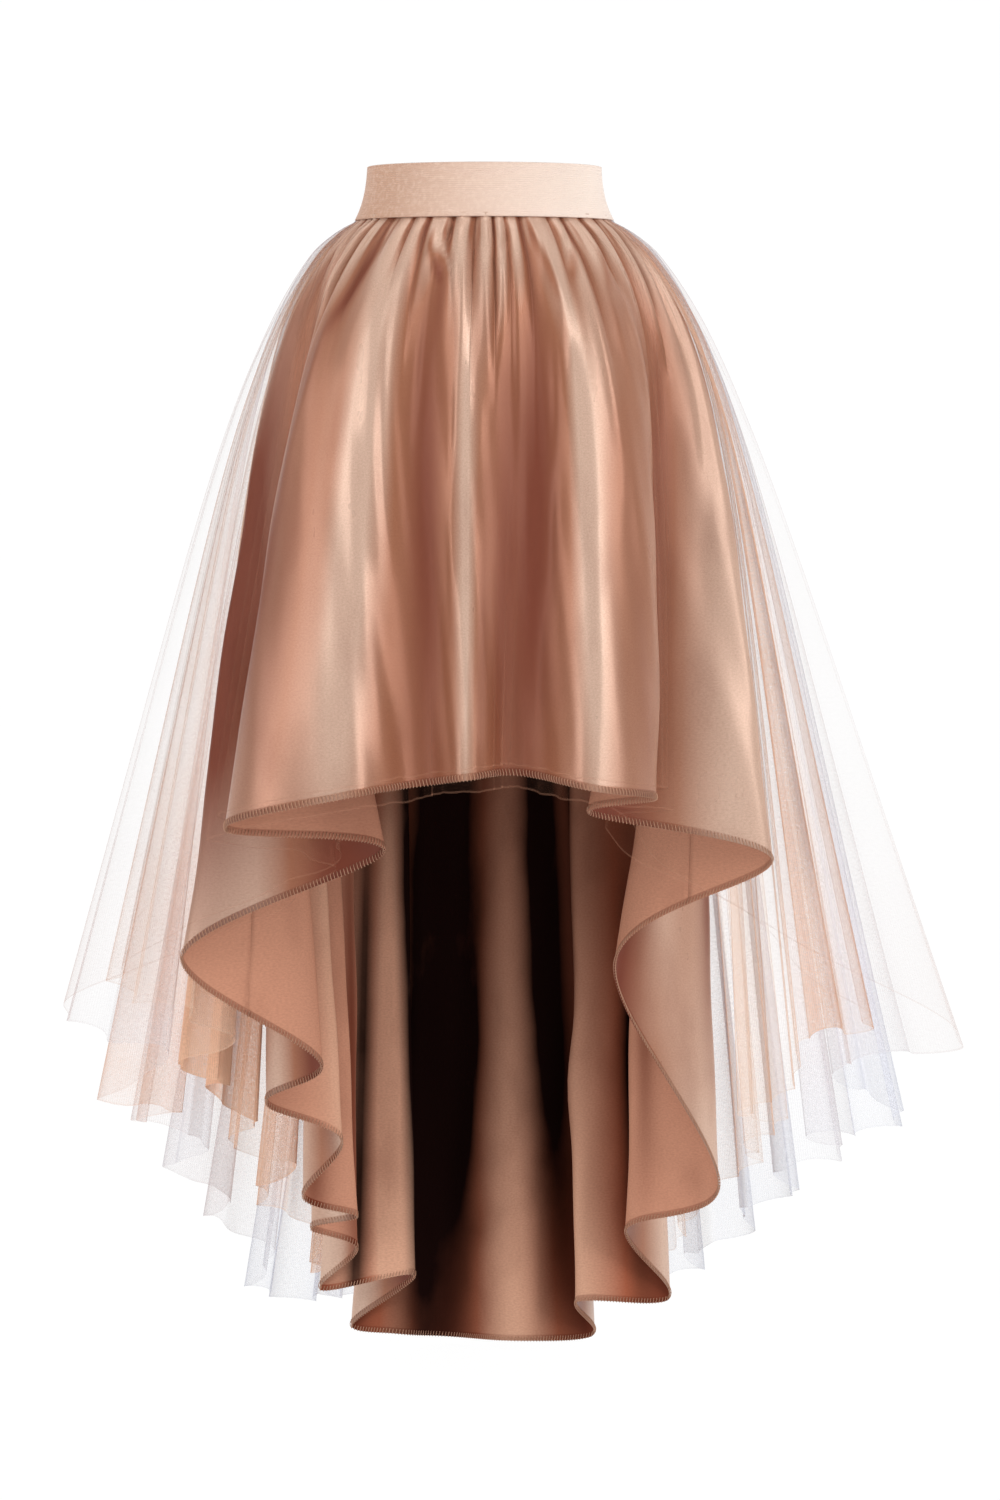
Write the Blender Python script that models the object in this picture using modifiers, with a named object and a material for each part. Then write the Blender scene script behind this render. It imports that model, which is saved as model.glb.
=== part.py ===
# High-low skirt: a wide elastic waistband, a gathered satin skirt that is knee
# length in front and ankle length behind, and two gathered tulle skirts over it.
# Metres, +Z up, the wearer faces -Y. The origin is the centre of the waist's rim.

import math
from collections import namedtuple

import bmesh
import bpy
from mathutils import Vector

MM = 0.001

# Waistband: knitted elastic, an ellipse that flares towards its seam
BAND_HEIGHT = 0.050
BAND_WALL = 0.0024
BAND_COLUMNS = 96
BandRing = namedtuple("BandRing", "share_down half_width half_depth")
BAND_RINGS = (
    BandRing(0.00, 0.1080, 0.0890),
    BandRing(0.30, 0.1090, 0.0898),
    BandRing(0.62, 0.1121, 0.0924),
    BandRing(1.00, 0.1200, 0.0990),
)

# The waist seam, where the three gathered layers hang from the band, and the
# side seams, whose gap is measured along the rows
SEAM_GAP = 0.0003
SIDE_GAP = 0.0005
SLANTED_EDGE = 0.0005
SEAM_DROP = BAND_HEIGHT + SEAM_GAP + SLANTED_EDGE
SEAM_HALF_WIDTH = 0.1180
SEAM_HALF_DEPTH = 0.0970

# Gathers just under the band
GATHERS = 40
GATHER_PHASE = 90.0
GATHER_HEIGHT = 0.0026
GATHER_GROWN = 0.016
GATHER_FADED = 0.210

# How the layers leave the waist
HIP_DEPTH = 0.090
LIFT_DEPTH = 0.030
FOLD_GROWTH = 1.15
FOLD_ROUNDNESS = 1.15

# The grid of each panel: 160 columns round, rows by depth under the seam
COLUMNS = 160
ROW_DEPTHS = (0.0, 0.014, 0.040, 0.090, 0.180)
LOWER_ROWS = (0.5, 1.0)

# Satin and outer tulle: distance out from the satin at the seam and below it,
# the reach at the hips and the slope under them, each way from the waist
Layer = namedtuple("Layer", "seam_lift lift hips slopes")
Sides = namedtuple("Sides", "left right front back")
SATIN = Layer(0.0, 0.0, Sides(0.084, 0.097, 0.060, 0.060), Sides(0.00, 0.00, 0.06, 0.125))
OUTER_TULLE = Layer(0.0040, 0.0120, Sides(0.070, 0.074, 0.060, 0.060), Sides(0.20, 0.22, 0.06, 0.22))
SATIN_WALL = 0.0012
TULLE_WALL = 0.0011

# Folds at each hem, round from the centre front by way of the left of the
# photo. Column: which of the columns round the waist. The hem's place in mm.
Fold = namedtuple("Fold", "column x y drop")
SATIN_FOLDS = (
    Fold(-7, 33, -165, 555),
    Fold(2, -17, -195, 557),
    Fold(9, -58, -172, 564),
    Fold(16, -128, -215, 572),
    Fold(25, -229, -150, 609),
    Fold(31, -94, -62, 636),
    Fold(37, -283, -30, 737),
    Fold(43, -156, 44, 854),
    Fold(47, -213, 100, 900),
    Fold(50, -140, 134, 939),
    Fold(53, -180, 168, 1003),
    Fold(56, -128, 194, 1027),
    Fold(59, -177, 224, 1045),
    Fold(62, -130, 250, 1070),
    Fold(65, -170, 290, 1120),
    Fold(69, -72, 262, 1100),
    Fold(73, -138, 330, 1168),
    Fold(76, -92, 312, 1171),
    Fold(79, -40, 340, 1180),
    Fold(82, 22, 280, 1171),
    Fold(86, 108, 322, 1176),
    Fold(91, 92, 240, 1123),
    Fold(96, 186, 272, 1127),
    Fold(102, 140, 190, 1040),
    Fold(108, 229, 140, 992),
    Fold(116, 124, 44, 757),
    Fold(125, 267, -40, 642),
    Fold(132, 98, -70, 600),
    Fold(139, 158, -150, 578),
    Fold(145, 104, -210, 566),
)
OUTER_FOLDS = (
    Fold(0, 10, -250, 560),
    Fold(13, -140, -230, 580),
    Fold(25, -248, -146, 622),
    Fold(31, -156, -80, 664),
    Fold(37, -395, -20, 787),
    Fold(42, -300, 42, 850),
    Fold(45, -368, 72, 886),
    Fold(48, -304, 106, 905),
    Fold(51, -344, 138, 922),
    Fold(54, -276, 172, 950),
    Fold(58, -318, 220, 985),
    Fold(61, -250, 248, 1015),
    Fold(64, -282, 295, 1050),
    Fold(67, -218, 318, 1085),
    Fold(70, -240, 368, 1135),
    Fold(73, -168, 376, 1145),
    Fold(76, -158, 430, 1155),
    Fold(80, -82, 404, 1158),
    Fold(83, -20, 448, 1160),
    Fold(86, 50, 402, 1158),
    Fold(89, 112, 432, 1150),
    Fold(92, 146, 376, 1135),
    Fold(95, 214, 375, 1115),
    Fold(98, 214, 320, 1085),
    Fold(101, 274, 302, 1058),
    Fold(103, 250, 250, 1035),
    Fold(106, 312, 226, 1005),
    Fold(108, 284, 180, 980),
    Fold(111, 352, 148, 955),
    Fold(114, 326, 112, 935),
    Fold(117, 398, 80, 915),
    Fold(123, 340, 36, 850),
    Fold(128, 447, -12, 811),
    Fold(133, 140, -92, 640),
    Fold(139, 172, -160, 596),
    Fold(150, 90, -235, 570),
)

# In front the outer tulle lies over the satin's folds and is a little longer.
# The inner tulle lies inside the outer one and is shorter. The distances are
# level ones, square to the cloth as seen from above. At the sides and behind
# the inner tulle hangs at a share of the way from the satin to the outer one.
OVER_SATIN = 0.0125
OVER_SATIN_SEAM = 0.0040
FRONT_LONGER = 0.010
FRONT_ENDS = 54.0
SIDE_STARTS = 72.0
INNER_GAP_SEAM = 0.0020
INNER_GAP = 0.0050
INNER_SHARE = 0.62
INNER_PARTED = 0.150
INNER_SHORTER_FRONT = 0.020
INNER_SHORTER_SIDES = 0.030

Panel = namedtuple("Panel", "name first_turn last_turn")
FRONT = Panel("front", -90.0, 90.0)
BACK = Panel("back", 90.0, 270.0)

Finish = namedtuple("Finish", "name colour roughness")
BAND_FINISH = Finish("elastic", (0.80, 0.62, 0.50), 0.75)
SATIN_FINISH = Finish("satin", (0.50, 0.27, 0.18), 0.38)
INNER_FINISH = Finish("blush_tulle", (0.86, 0.72, 0.64), 0.80)
OUTER_FINISH = Finish("white_tulle", (0.88, 0.88, 0.92), 0.80)


def ease(share):
    """A smooth step from 0 to 1."""
    share = min(1.0, max(0.0, share))
    return share * share * (3.0 - 2.0 * share)


def side_share(turn):
    """0 at the front, 1 from the sides round to the back."""
    from_front = abs((turn + 180.0) % 360.0 - 180.0)
    return ease((from_front - FRONT_ENDS) / (SIDE_STARTS - FRONT_ENDS))


def hung(layer, turn, depth):
    """The layer without its folds: x and y at a depth under the seam."""
    sine = math.sin(math.radians(turn))
    cosine = math.cos(math.radians(turn))
    grown = 1.0 - math.exp(-depth / HIP_DEPTH)
    side = "left" if sine > 0.0 else "right"
    end = "front" if cosine > 0.0 else "back"
    lift = layer.seam_lift + (layer.lift - layer.seam_lift) * ease(depth / LIFT_DEPTH)
    reach_x = SEAM_HALF_WIDTH + lift + getattr(layer.hips, side) * grown + getattr(layer.slopes, side) * depth
    reach_y = SEAM_HALF_DEPTH + lift + getattr(layer.hips, end) * grown + getattr(layer.slopes, end) * depth
    return -reach_x * sine, -reach_y * cosine


def hem_place(folds, turn):
    """The hem's x, y and drop in metres, on a rounded line through the folds."""
    count = len(folds)
    column = (turn * COLUMNS / 360.0 - folds[0].column) % COLUMNS + folds[0].column
    start = max(k for k in range(count) if folds[k].column <= column + 1e-9)
    columns = []
    places = []
    for k in range(start - 1, start + 3):
        lap, row = divmod(k, count)
        columns.append(folds[row].column + COLUMNS * lap)
        places.append((folds[row].x, folds[row].y, folds[row].drop))
    step = columns[2] - columns[1]
    share = (column - columns[1]) / step
    result = []
    for axis, roundness in enumerate((FOLD_ROUNDNESS, FOLD_ROUNDNESS, 1.0)):
        pace = []
        for k in (1, 2):
            before = (places[k][axis] - places[k - 1][axis]) / (columns[k] - columns[k - 1])
            after = (places[k + 1][axis] - places[k][axis]) / (columns[k + 1] - columns[k])
            weight = (columns[k] - columns[k - 1]) / (columns[k + 1] - columns[k - 1])
            pace.append(roundness * step * (before * (1.0 - weight) + after * weight))
        result.append(MM * (
            (2 * share**3 - 3 * share**2 + 1) * places[1][axis]
            + (share**3 - 2 * share**2 + share) * pace[0]
            + (3 * share**2 - 2 * share**3) * places[2][axis]
            + (share**3 - share**2) * pace[1]
        ))
    return result


def folded(layer, folds, turn, depth):
    """A point of a layer with its folds but not its gathers."""
    hem_x, hem_y, hem_drop = hem_place(folds, turn)
    length = hem_drop - SEAM_DROP
    here_x, here_y = hung(layer, turn, depth)
    end_x, end_y = hung(layer, turn, length)
    grown = (depth / length) ** FOLD_GROWTH
    x = here_x + (hem_x - end_x) * grown
    y = here_y + (hem_y - end_y) * grown
    return Vector((x, y, -SEAM_DROP - depth))


def moved_out(surface, turn, depth, distance):
    """A point of a surface, moved out level and square to the cloth."""
    beside = 0.5 * 360.0 / COLUMNS
    across = surface(turn + beside, depth) - surface(turn - beside, depth)
    outwards = Vector((-across.y, across.x, 0.0)).normalized()
    return surface(turn, depth) + outwards * distance


def satin_folded(turn, depth):
    """The satin's surface without its gathers."""
    return folded(SATIN, SATIN_FOLDS, turn, depth)


def outer_folded(turn, depth):
    """The outer tulle: over the satin in front, in its own folds elsewhere."""
    side = side_share(turn)
    own = folded(OUTER_TULLE, OUTER_FOLDS, turn, depth) if side > 0.0 else None
    if side == 1.0:
        return own
    distance = OVER_SATIN_SEAM + (OVER_SATIN - OVER_SATIN_SEAM) * ease(depth / LIFT_DEPTH)
    over = moved_out(satin_folded, turn, depth, distance)
    return over if own is None else over.lerp(own, side)


def inner_folded(turn, depth):
    """The inner tulle: close inside the outer one in front, between it and the satin elsewhere."""
    distance = INNER_GAP_SEAM + (INNER_GAP - INNER_GAP_SEAM) * ease(depth / LIFT_DEPTH)
    close = moved_out(outer_folded, turn, depth, -distance)
    between = satin_folded(turn, depth).lerp(outer_folded(turn, depth), INNER_SHARE)
    return close.lerp(between, side_share(turn) * ease(depth / INNER_PARTED))


def gather(turn, depth):
    """The gathers, the same in every layer so that the layers nest."""
    faded = 1.0 - ease((depth - GATHER_GROWN) / (GATHER_FADED - GATHER_GROWN))
    wave = math.cos(math.radians(turn * GATHERS + GATHER_PHASE))
    height = GATHER_HEIGHT * ease(depth / GATHER_GROWN) * faded * wave
    return Vector((-height * math.sin(math.radians(turn)), -height * math.cos(math.radians(turn)), 0.0))


def satin_length(turn):
    """From the seam to the satin's hem."""
    return hem_place(SATIN_FOLDS, turn)[2] - SEAM_DROP


def outer_length(turn):
    """From the seam to the outer tulle's hem."""
    own = hem_place(OUTER_FOLDS, turn)[2] - SEAM_DROP
    over = satin_length(turn) + FRONT_LONGER
    return over + (own - over) * side_share(turn)


def inner_length(turn):
    """From the seam to the inner tulle's hem."""
    side = side_share(turn)
    shorter = INNER_SHORTER_FRONT + side * (INNER_SHORTER_SIDES - INNER_SHORTER_FRONT)
    return outer_length(turn) - shorter


def row_depths(length):
    """Fixed depths near the waist, shares of the rest below them."""
    last = ROW_DEPTHS[-1]
    return ROW_DEPTHS + tuple(last + share * (length - last) for share in LOWER_ROWS)


def add_object(name, points, faces, finish, collection, wall):
    """A named sheet with its own material and a live wall thickness."""
    mesh = bpy.data.meshes.new(name)
    mesh.from_pydata(points, [], faces)
    sheet = bmesh.new()
    sheet.from_mesh(mesh)
    bmesh.ops.recalc_face_normals(sheet, faces=sheet.faces)
    sheet.to_mesh(mesh)
    sheet.free()
    for face in mesh.polygons:
        face.use_smooth = True
    material = bpy.data.materials.new(name + "_" + finish.name)
    material.use_nodes = True
    shader = material.node_tree.nodes["Principled BSDF"]
    shader.inputs["Base Color"].default_value = (*finish.colour, 1.0)
    shader.inputs["Roughness"].default_value = finish.roughness
    mesh.materials.append(material)
    piece = bpy.data.objects.new(name, mesh)
    collection.objects.link(piece)
    solid = piece.modifiers.new("wall", "SOLIDIFY")
    solid.thickness = wall
    solid.offset = 0.0
    solid.use_even_offset = True
    solid.use_quality_normals = True
    return piece


def grid_faces(columns, rows, closed):
    """Triangles of a grid kept row by row, cut along one way so that walls stay even."""
    faces = []
    for row in range(rows - 1):
        for column in range(columns if closed else columns - 1):
            following = (column + 1) % columns
            top = row * columns
            below = top + columns
            faces.append((top + column, below + column, below + following))
            faces.append((top + column, below + following, top + following))
    return faces


def add_waistband(collection):
    """A closed ring of elastic."""
    points = []
    for ring in BAND_RINGS:
        for column in range(BAND_COLUMNS):
            turn = math.tau * column / BAND_COLUMNS
            x = -ring.half_width * math.sin(turn)
            y = -ring.half_depth * math.cos(turn)
            points.append((x, y, -ring.share_down * BAND_HEIGHT))
    faces = grid_faces(BAND_COLUMNS, len(BAND_RINGS), True)
    add_object("waistband", points, faces, BAND_FINISH, collection, BAND_WALL)


def add_panel(cloth, panel, collection):
    """One panel of a layer, held off its neighbour by half the seam's gap."""
    columns = int(COLUMNS * (panel.last_turn - panel.first_turn) / 360.0) + 1
    turns = [panel.first_turn + 360.0 * column / COLUMNS for column in range(columns)]
    strips = []
    for turn in turns:
        depths = row_depths(cloth.length(turn))
        strips.append([cloth.folded(turn, depth) + gather(turn, depth) for depth in depths])
    points = []
    for row in zip(*strips):
        row = list(row)
        for end, inner in ((0, 1), (-1, -2)):
            row[end] = row[end] + (row[inner] - row[end]).normalized() * (SIDE_GAP / 2.0)
        points += row
    faces = grid_faces(columns, len(strips[0]), False)
    add_object(cloth.name + "_" + panel.name, points, faces, cloth.finish, collection, cloth.wall)


Cloth = namedtuple("Cloth", "name folded length wall finish")
CLOTHS = (
    Cloth("satin", satin_folded, satin_length, SATIN_WALL, SATIN_FINISH),
    Cloth("tulle_inner", inner_folded, inner_length, TULLE_WALL, INNER_FINISH),
    Cloth("tulle_outer", outer_folded, outer_length, TULLE_WALL, OUTER_FINISH),
)


def build():
    """Clear the file, then build the band and the panels of each layer."""
    for old in list(bpy.data.objects):
        bpy.data.objects.remove(old)
    skirt = bpy.data.collections.new("high_low_skirt")
    bpy.context.scene.collection.children.link(skirt)
    add_waistband(skirt)
    for cloth in CLOTHS:
        for panel in (FRONT, BACK):
            add_panel(cloth, panel, skirt)


build()
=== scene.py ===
# High-low skirt on a pale studio ground: satin under two layers of tulle,
# gathered into a wide ribbed elastic. Metres, +Z up, the wearer faces -Y.

import math
from collections import namedtuple

import bpy
import numpy as np
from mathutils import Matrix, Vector


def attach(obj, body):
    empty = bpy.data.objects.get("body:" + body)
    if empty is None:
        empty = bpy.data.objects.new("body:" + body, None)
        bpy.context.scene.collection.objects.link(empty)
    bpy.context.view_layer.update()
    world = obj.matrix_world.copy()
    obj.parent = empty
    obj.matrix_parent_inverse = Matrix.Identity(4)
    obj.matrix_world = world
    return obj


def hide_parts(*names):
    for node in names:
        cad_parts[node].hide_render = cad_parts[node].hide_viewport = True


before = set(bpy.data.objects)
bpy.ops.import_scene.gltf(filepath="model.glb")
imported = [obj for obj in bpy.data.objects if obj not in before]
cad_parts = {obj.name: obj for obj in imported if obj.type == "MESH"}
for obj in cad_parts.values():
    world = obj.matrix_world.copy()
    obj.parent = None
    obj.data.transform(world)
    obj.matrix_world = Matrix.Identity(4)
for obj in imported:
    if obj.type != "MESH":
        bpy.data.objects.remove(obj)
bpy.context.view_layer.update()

# The satin skirt: two gathered panels of copper satin, knee length in front and
# ankle length behind. They are joined at the sides, gathered into the waistband
# and overlocked along the hem. The wrong side is duller and redder.
MM = 0.001
COLUMNS = 160
SEAM_DROP = 0.0508
SEAM_HALF_WIDTH = 0.1180
SEAM_HALF_DEPTH = 0.0970
HIP_DEPTH = 0.090
LIFT_DEPTH = 0.030
FOLD_GROWTH = 1.15
FOLD_ROUNDNESS = 1.15
TUCK_HEIGHT = 0.0050
TUCK_REACH = 0.0120
SATIN_THICK = 0.0006
SATIN_TUCK = 0.0012

Layer = namedtuple("Layer", "seam_lift lift hips slopes")
Sides = namedtuple("Sides", "left right front back")
SATIN = Layer(0.0, 0.0, Sides(0.084, 0.097, 0.060, 0.060), Sides(0.00, 0.00, 0.06, 0.125))

# Folds at the hem, round from the centre front by way of the left. The column is
# one of the 160 round the waist; the hem's place is in mm from the rim's centre.
Fold = namedtuple("Fold", "column x y drop")
SATIN_FOLDS = (
    Fold(-7, 33, -165, 555),
    Fold(2, -17, -195, 557),
    Fold(9, -58, -172, 564),
    Fold(16, -128, -215, 572),
    Fold(25, -229, -150, 609),
    Fold(31, -94, -62, 636),
    Fold(37, -283, -30, 737),
    Fold(43, -156, 44, 854),
    Fold(47, -213, 100, 900),
    Fold(50, -140, 134, 939),
    Fold(53, -180, 168, 1003),
    Fold(56, -128, 194, 1027),
    Fold(59, -177, 224, 1045),
    Fold(62, -130, 250, 1070),
    Fold(65, -170, 290, 1120),
    Fold(69, -72, 262, 1100),
    Fold(73, -138, 330, 1168),
    Fold(76, -92, 312, 1171),
    Fold(79, -40, 340, 1180),
    Fold(82, 22, 280, 1171),
    Fold(86, 108, 322, 1176),
    Fold(91, 92, 240, 1123),
    Fold(96, 186, 272, 1127),
    Fold(102, 140, 190, 1040),
    Fold(108, 229, 140, 992),
    Fold(116, 124, 44, 757),
    Fold(125, 267, -40, 642),
    Fold(132, 98, -70, 600),
    Fold(139, 158, -150, 578),
    Fold(145, 104, -210, 566),
)

# Lines down the satin, from one place to another by turn and depth under the
# waist seam, each with its width round the waist in degrees. Turns go round from
# the centre front by way of the left. The size of a crease is in mm, outwards.
Line = namedtuple("Line", "turn depth end_turn end_depth width size")
SATIN_CREASES = (
    Line(16, 0.00, 20, 0.22, 1.6, 2.2),
    Line(31, 0.02, 27, 0.30, 1.8, -2.4),
    Line(6, 0.01, 9, 0.34, 1.3, 1.6),
    Line(-9, 0.00, -12, 0.26, 1.5, 2.4),
    Line(-22, 0.01, -19, 0.40, 1.7, -2.0),
    Line(-33, 0.00, -38, 0.24, 1.4, 2.2),
    Line(48, 0.01, 52, 0.28, 1.8, 2.0),
    Line(66, 0.02, 64, 0.36, 2.0, -2.4),
    Line(-57, 0.01, -60, 0.30, 1.8, 2.4),
    Line(-76, 0.02, -72, 0.38, 1.6, -2.0),
    Line(104, 0.02, 108, 0.42, 2.0, 2.6),
    Line(131, 0.01, 127, 0.50, 1.8, -2.8),
    Line(149, 0.03, 152, 0.46, 1.6, 2.4),
    Line(171, 0.02, 168, 0.55, 1.8, 2.6),
    Line(193, 0.01, 196, 0.48, 1.7, -2.6),
    Line(216, 0.02, 213, 0.44, 1.9, 2.8),
    Line(241, 0.01, 244, 0.50, 1.6, -2.4),
    Line(258, 0.03, 255, 0.36, 1.7, 2.2),
    Line(191, 0.90, 178, 1.04, 2.2, 5.0),
    Line(186, 1.035, 179, 1.045, 1.8, 4.0),
    Line(176, 1.010, 173, 1.015, 1.4, 3.0),
    Line(206, 0.78, 197, 0.95, 2.4, -4.0),
    Line(24, 0.004, 14, 0.060, 2.6, 3.2),
    Line(13, 0.004, 19, 0.045, 1.8, -2.6),
    Line(-1, 0.006, -7, 0.055, 2.2, 2.8),
    Line(-12, 0.004, -4, 0.040, 1.8, -2.4),
    Line(-19, 0.004, -25, 0.075, 2.4, 3.2),
    Line(-36, 0.006, -29, 0.050, 2.2, -2.8),
    Line(-47, 0.004, -41, 0.060, 2.4, 3.0),
    Line(41, 0.006, 50, 0.090, 2.6, -3.0),
    Line(56, 0.004, 62, 0.110, 2.6, 3.2),
    Line(148, 0.004, 157, 0.060, 2.4, 3.0),
    Line(176, 0.004, 169, 0.050, 2.2, -2.6),
    Line(203, 0.004, 211, 0.070, 2.6, 3.0),
)

# Painted sheen on the satin in long bands: a painted highlight above 0 and painted shade below it.
# The short ones at the waist paint the light and shade of the slanting creases that the gathers pull
# in.
SATIN_PAINTED_SHEEN = (
    Line(47, 0.20, 48, 0.54, 3.0, -0.45),
    Line(40, 0.10, 41, 0.45, 1.6, -0.30),
    Line(24, 0.002, 14, 0.062, 2.0, -1.50),
    Line(21, 0.002, 11, 0.050, 1.2, 1.20),
    Line(-9, 0.002, -5, 0.050, 1.4, 1.30),
    Line(-19, 0.002, -25, 0.080, 2.2, -1.40),
    Line(-22, 0.004, -28, 0.120, 1.1, 1.50),
    Line(-37, 0.002, -30, 0.060, 1.8, -1.30),
    Line(-46, 0.002, -42, 0.070, 1.8, -1.10),
    Line(30, 0.004, 36, 0.150, 1.4, 1.30),
    Line(42, 0.004, 50, 0.110, 2.2, -1.40),
    Line(57, 0.004, 64, 0.160, 1.4, 1.00),
    Line(61, 0.004, 70, 0.180, 2.4, -1.30),
    Line(33, 0.03, 38, 0.58, 4.8, 1.70),
    Line(29, 0.02, 28, 0.30, 1.6, 0.50),
    Line(17, 0.03, 17, 0.52, 5.0, -1.15),
    Line(5, 0.02, 4.5, 0.54, 2.4, 1.25),
    Line(4.6, 0.03, 4.2, 0.54, 0.5, 0.60),
    Line(-1, 0.25, -1, 0.54, 2.0, -0.50),
    Line(-7, 0.10, -8, 0.54, 4.5, -0.85),
    Line(-16, 0.02, -17, 0.54, 6.0, -1.25),
    Line(-26, 0.02, -34, 0.54, 3.2, 1.75),
    Line(-33, 0.03, -33, 0.24, 3.0, 0.60),
    Line(-39, 0.20, -44, 0.54, 2.4, -0.30),
    Line(-48, 0.10, -47, 0.54, 3.0, 0.20),
    Line(-64, 0.04, -67, 0.50, 2.6, -0.70),
    Line(-75, 0.05, -76, 0.60, 5.0, 0.75),
    Line(52, 0.10, 53, 0.54, 3.0, -0.95),
    Line(64, 0.05, 66, 0.56, 5.0, -0.70),
    Line(80, 0.08, 82, 0.64, 5.0, -1.50),
    Line(103, 0.30, 106, 0.90, 3.0, -0.80),
    Line(112, 0.50, 113, 1.00, 2.0, 1.60),
    Line(121, 0.50, 121, 1.05, 1.6, -1.20),
    Line(129, 0.50, 129, 1.10, 1.8, 1.70),
    Line(138, 0.50, 139, 1.13, 1.6, -1.10),
    Line(143, 0.50, 143, 1.13, 1.2, 1.20),
    Line(149, 0.60, 149, 1.13, 2.2, 1.10),
    Line(152.4, 0.60, 152.7, 1.20, 1.0, 3.20),
    Line(184, 0.55, 184, 1.13, 2.6, 0.45),
    Line(222, 0.40, 226, 0.95, 3.0, 0.90),
    Line(231, 0.40, 233, 0.92, 1.6, -1.00),
    Line(239, 0.30, 241, 0.85, 2.0, 1.10),
    Line(246, 0.30, 246, 0.80, 2.2, -1.10),
    Line(255, 0.30, 253, 0.75, 2.4, 1.20),
)

# Painted shadow in the deep hollows between the folds inside the back, from 0 to 1, nearly black
SATIN_SHADOWS = (
    Line(173.8, 0.35, 175.6, 1.25, 5.6, 1.20),
    Line(189.6, 0.35, 189.8, 1.12, 2.7, 1.00),
    Line(155.8, 0.35, 156.6, 1.20, 2.2, 1.05),
    Line(150.0, 0.60, 150.0, 1.20, 0.7, 1.10),
    Line(152.4, 0.62, 152.7, 1.20, 1.0, -0.75),
    Line(212.2, 0.70, 212.2, 1.05, 1.3, 0.90),
    Line(215.8, 0.72, 215.0, 0.88, 2.0, 0.90),
    Line(198.0, 0.40, 198.0, 0.95, 4.0, 0.55),
    Line(180.3, 0.70, 179.0, 0.98, 1.4, 0.50),
)

# Gathers under the band, uneven in width, height and length
GATHERS = 40
GATHER_HEIGHT = 0.0042
GATHER_AT_SEAM = 0.45
GATHER_GROWN = 0.012
GATHER_FADED = 0.170


def ease(share):
    """A smooth step from 0 to 1."""
    share = np.clip(share, 0.0, 1.0)
    return share * share * (3.0 - 2.0 * share)


def uneven(turn, *waves):
    """A sum of slow waves round the waist, each by count, phase in degrees and height."""
    return sum(height * np.sin(np.radians(turn * count + phase)) for count, phase, height in waves)


def hung(layer, turn, depth):
    """The layer without its folds: its plan place, x + iy, at a depth under the seam."""
    sine = np.sin(np.radians(turn))
    cosine = np.cos(np.radians(turn))
    grown = 1.0 - np.exp(-depth / HIP_DEPTH)
    lift = layer.seam_lift + (layer.lift - layer.seam_lift) * ease(depth / LIFT_DEPTH)
    hips = np.where(sine > 0.0, layer.hips.left, layer.hips.right)
    slope = np.where(sine > 0.0, layer.slopes.left, layer.slopes.right)
    reach_x = SEAM_HALF_WIDTH + lift + hips * grown + slope * depth
    hips = np.where(cosine > 0.0, layer.hips.front, layer.hips.back)
    slope = np.where(cosine > 0.0, layer.slopes.front, layer.slopes.back)
    reach_y = SEAM_HALF_DEPTH + lift + hips * grown + slope * depth
    return -reach_x * sine - 1j * reach_y * cosine


def hem_place(folds, turn):
    """The hem's plan place and its drop, on a rounded line through the folds."""
    rows = np.array(folds, float)
    lap = np.array((COLUMNS, 0.0, 0.0, 0.0))
    rows = np.vstack((rows - lap, rows, rows + lap))
    at = rows[:, 0]
    slope = np.diff(rows[:, 1:], axis=0) / np.diff(at)[:, None]
    weight = ((at[1:-1] - at[:-2]) / (at[2:] - at[:-2]))[:, None]
    pace = np.vstack((slope[:1], slope[:-1] * (1.0 - weight) + slope[1:] * weight, slope[-1:]))
    pace[:, :2] *= FOLD_ROUNDNESS
    column = (np.asarray(turn) * COLUMNS / 360.0 - folds[0].column) % COLUMNS + folds[0].column
    k = np.searchsorted(at, column, "right") - 1
    step = (at[k + 1] - at[k])[..., None]
    share = (column - at[k])[..., None] / step
    place = (
        (2 * share**3 - 3 * share**2 + 1) * rows[k, 1:]
        + (share**3 - 2 * share**2 + share) * step * pace[k]
        + (3 * share**2 - 2 * share**3) * rows[k + 1, 1:]
        + (share**3 - share**2) * step * pace[k + 1]
    ) * MM
    return place[..., 0] + 1j * place[..., 1], place[..., 2]


def folded(layer, folds, turn, depth):
    """The plan place of a layer with its folds but not its gathers."""
    hem, drop = hem_place(folds, turn)
    length = drop - SEAM_DROP
    grown = np.maximum(depth / length, 0.0) ** FOLD_GROWTH
    return hung(layer, turn, depth) + (hem - hung(layer, turn, length)) * grown


def moved_out(surface, turn, depth, distance):
    """A surface moved out level and square to the cloth."""
    beside = 0.5 * 360.0 / COLUMNS
    across = surface(turn + beside, depth) - surface(turn - beside, depth)
    return surface(turn, depth) + 1j * across / np.abs(across) * distance


def gather_ridge(turn):
    """The gathers' shape round the waist: 1 on a ridge, -1 in a valley."""
    warped = turn * GATHERS + 90.0 + uneven(turn, (5, 20, 100), (11, 60, 70), (17, 140, 38))
    return 2.0 * np.abs(np.sin(np.radians(warped / 2.0))) ** 0.8 - 1.0


def gather_fresh(turn, depth):
    """How much of the gathers is left at a depth: each runs out at its own."""
    reach = GATHER_FADED * (1.0 + uneven(turn, (6, 160, 0.35), (17, 45, 0.35)))
    return 1.0 - ease((depth - GATHER_GROWN) / (reach - GATHER_GROWN))


def gather(turn, depth):
    """The gathers, outwards from the waist's centre and the same in every layer."""
    size = 1.0 + uneven(turn, (5, 75, 0.30), (13, 10, 0.28), (23, 200, 0.20))
    grown = GATHER_AT_SEAM + (1.0 - GATHER_AT_SEAM) * ease(depth / GATHER_GROWN)
    height = GATHER_HEIGHT * size * grown * gather_fresh(turn, depth) * gather_ridge(turn)
    return -height * (np.sin(np.radians(turn)) + 1j * np.cos(np.radians(turn)))


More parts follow.
